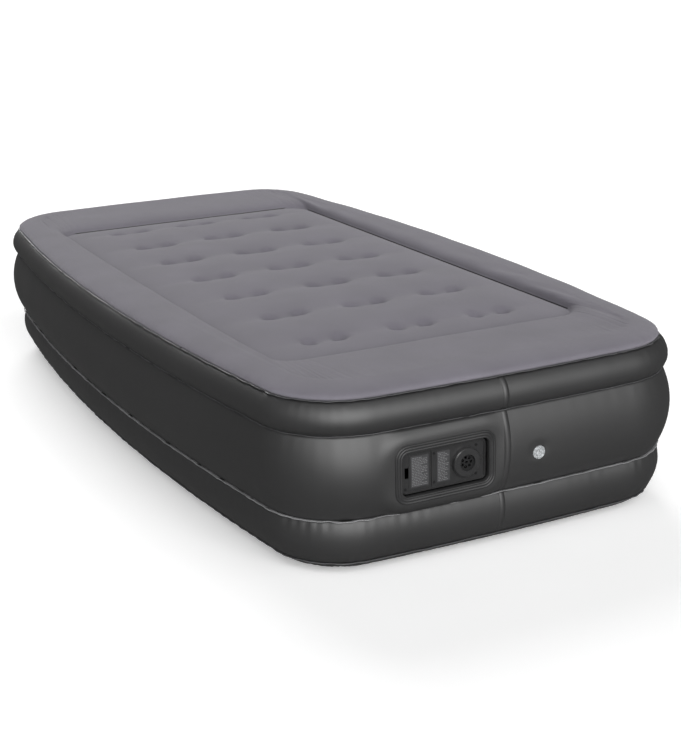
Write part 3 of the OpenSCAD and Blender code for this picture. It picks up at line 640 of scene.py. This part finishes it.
def rounded_loop(half_x, half_z, r, count=176):
    """A rounded rectangle about the pump's centre, sampled evenly by angle so that the loops match."""
    a = (np.arange(count) + 0.5) / count * 2 * math.pi
    direction = np.c_[np.cos(a), np.sin(a)]
    reach = np.full(count, min(half_x, half_z))
    for _ in range(TRACE_STEPS):
        gap_left = rounded_distance(direction[:, 0] * reach, direction[:, 1] * reach, half_x, half_z, r)
        reach -= gap_left * TRACE_SHARE
    return direction * reach[:, None]


FACE_DEPTH = 0.0015
POCKET = (0.0875, 0.0405, 0.0115)


def surround_frame():
    """The soft moulded frame round the pump, with its ridges."""
    face_y = surround_lo.y + FACE_DEPTH
    outer = np.array([*SURROUND_HALF, SURROUND_R])
    inner = np.array(POCKET)
    # how far from the outer edge to the pocket, and how far in front of the flat face
    profile = [(0.0, -0.0045), (0.02, -0.0018), (0.07, 0.0), (0.16, 0.0012), (0.25, 0.0013),
               (0.33, 0.0003), (0.40, -0.0002), (0.48, 0.0011), (0.57, 0.0013), (0.66, 0.0003),
               (0.73, -0.0002), (0.81, 0.0010), (0.90, 0.0009), (0.97, -0.0006), (1.0, -0.0030),
               (1.0, -0.0145), (0.55, -0.0155), (0.02, -0.0120)]
    loops = []
    for share, out in profile + profile[:1]:
        half_x, half_z, r = outer * (1 - share) + inner * share
        xz = rounded_loop(half_x, half_z, r)
        y = min(face_y - out, surround_hi.y)
        loops.append(np.c_[xz[:, 0] + PUMP_X, np.full(len(xz), y), xz[:, 1] + PUMP_Z])
    made = new_object("pump_frame", np.concatenate(loops), grid_faces(len(loops), len(loops[0])))
    smooth = made.modifiers.new("soft", "SUBSURF")
    smooth.levels = smooth.render_levels = 1
    return finish_piece(made, "mattress", "surround", FINISH["surround"], "pump_surround")


surround_frame()


# ---------------------------------------------------------------- printed bars
BAR, BAR_GAP, BAR_RISE = 0.0013, 0.0030, 0.00012
BAR_WIDTHS, BAR_SPACES, BAR_LEAST = (0.0018, 0.0062), (0.0009, 0.0016), 0.002
MARGIN_X, MARGIN_Z, SHORT_LINE = 0.0025, 0.003, 0.62
BOX_FACES = ((0, 3, 2, 1), (4, 5, 6, 7), (0, 1, 5, 4), (1, 2, 6, 5), (2, 3, 7, 6), (3, 0, 4, 7))


def printed_bars(name, label, body, full_lines):
    """Generic bars in rows on a label, standing in for its print."""
    lo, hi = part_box(label)
    verts, faces = [], []
    front, back = lo.y - BAR_RISE, lo.y + BAR_RISE
    z = hi.z - MARGIN_Z
    line = 0
    while z > lo.z + MARGIN_Z:
        x = lo.x + MARGIN_X
        end = hi.x - MARGIN_X if line % full_lines else lo.x + (hi.x - lo.x) * SHORT_LINE
        while x < end - BAR_LEAST:
            wide = min(rng.uniform(*BAR_WIDTHS), end - x)
            start = len(verts)
            verts += [(px, py, pz) for py in (front, back) for px, pz in
                      ((x, z), (x + wide, z), (x + wide, z - BAR), (x, z - BAR))]
            faces += [tuple(start + k for k in f) for f in BOX_FACES]
            x += wide + rng.uniform(*BAR_SPACES)
        z -= BAR_GAP
        line += 1
    made = new_object(name, verts, faces, smooth=False)
    return finish_piece(made, body, "label", FINISH["ink"])


printed_bars("door_label_bars", "door_label", "cord_door", 5)
printed_bars("panel_label_bars", "panel_label", "mattress", 3)

# ---------------------------------------------------------------- floor and light
FLOOR_HALF, FLOOR_Z = 60, -0.0006
WORLD_STRENGTH = 0.13
# name, azimuth and elevation it shines from, strength, angular size in degrees
SUNS = (("key", -12, 24, 3.00, 60), ("left", -66, 40, 0.50, 46),
        ("fill", 30, 28, 0.45, 46), ("back", 168, 33, 1.60, 34))


def stage_and_lights():
    corners = [(x * FLOOR_HALF, y * FLOOR_HALF, FLOOR_Z)
               for x, y in ((-1, -1), (1, -1), (1, 1), (-1, 1))]
    floor = new_object("floor", corners, [(0, 1, 2, 3)], smooth=False)
    floor.data.materials.append(surface("floor", (0.95, 0.95, 0.95), 0.85, vary=0.01, grain=60,
                                        height=0.00005, glow=0.25))
    # out of reflections, because it would turn the dark film pale
    floor.visible_glossy = False
    world = bpy.data.worlds.new("studio")
    world.use_nodes = True
    world.node_tree.nodes["Background"].inputs["Color"].default_value = (1, 1, 1, 1)
    world.node_tree.nodes["Background"].inputs["Strength"].default_value = WORLD_STRENGTH
    scene.world = world
    for name, azimuth, elevation, strength, size in SUNS:
        sun = bpy.data.objects.new(name, bpy.data.lights.new(name, "SUN"))
        sun.data.energy = strength
        sun.data.angle = math.radians(size)
        a, e = math.radians(azimuth), math.radians(elevation)
        from_there = Vector((math.sin(a) * math.cos(e), -math.cos(a) * math.cos(e), math.sin(e)))
        sun.rotation_euler = from_there.to_track_quat("Z", "Y").to_euler()
        scene.collection.objects.link(sun)
    scene.view_settings.view_transform = "Standard"


stage_and_lights()
